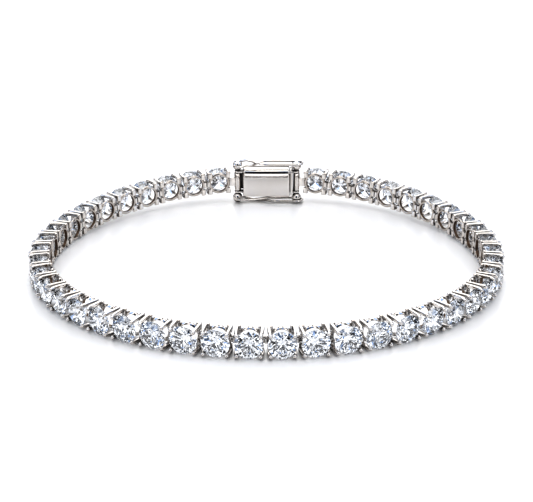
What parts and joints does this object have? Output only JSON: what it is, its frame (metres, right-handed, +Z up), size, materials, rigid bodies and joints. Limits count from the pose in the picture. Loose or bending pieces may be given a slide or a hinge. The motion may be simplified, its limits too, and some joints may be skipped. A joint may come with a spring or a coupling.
{
  "type": "tennis bracelet",
  "caption": "Slim bracelet of round brilliants in four-claw settings hinged into a closed loop, with a box clasp and two safety latches, lying on its edge.",
  "frame": {"origin": "middle of the bracelet's underside, on the surface it lies on", "axes": "+Z up through the open loop, +Y towards the clasp, +X to the right seen from the front"},
  "size_m": [0.0628, 0.0584, 0.0064],
  "materials": {
    "white_gold": "mirror-polished, rhodium plated",
    "diamond": "colourless, cut with facets and polished"
  },
  "bodies": {
    "bracelet": {"link_01": "white_gold", "link_02": "white_gold", "link_03": "white_gold", "link_04": "white_gold", "link_05": "white_gold", "link_06": "white_gold", "link_07": "white_gold", "link_08": "white_gold", "link_09": "white_gold", "link_10": "white_gold", "link_11": "white_gold", "link_12": "white_gold", "link_13": "white_gold", "link_14": "white_gold", "link_15": "white_gold", "link_16": "white_gold", "link_17": "white_gold", "link_18": "white_gold", "link_19": "white_gold", "link_20": "white_gold", "link_21": "white_gold", "link_22": "white_gold", "link_23": "white_gold", "link_24": "white_gold", "link_25": "white_gold", "link_26": "white_gold", "link_27": "white_gold", "link_28": "white_gold", "link_29": "white_gold", "link_30": "white_gold", "link_31": "white_gold", "link_32": "white_gold", "link_33": "white_gold", "link_34": "white_gold", "link_35": "white_gold", "link_36": "white_gold", "link_37": "white_gold", "link_38": "white_gold", "link_39": "white_gold", "link_40": "white_gold", "link_41": "white_gold", "link_42": "white_gold", "link_43": "white_gold", "link_44": "white_gold", "clasp_box": "white_gold", "clasp_tongue": "white_gold", "hinge_post_left": "white_gold", "hinge_post_right": "white_gold"},
    "latch_top": {"safety_latch_top": "white_gold"},
    "latch_bottom": {"safety_latch_bottom": "white_gold"}
  },
  "joints": [
    {"name": "latch_top_hinge", "type": "hinge", "parent": "bracelet", "child": "latch_top", "pos_m": [-0.00433, 0.02703, 0.00568], "axis": [0, -1, 0], "range_deg": [0, 100]},
    {"name": "latch_bottom_hinge", "type": "hinge", "parent": "bracelet", "child": "latch_bottom", "pos_m": [-0.00433, 0.02703, 0.00072], "axis": [0, 1, 0], "range_deg": [0, 100]}
  ]
}
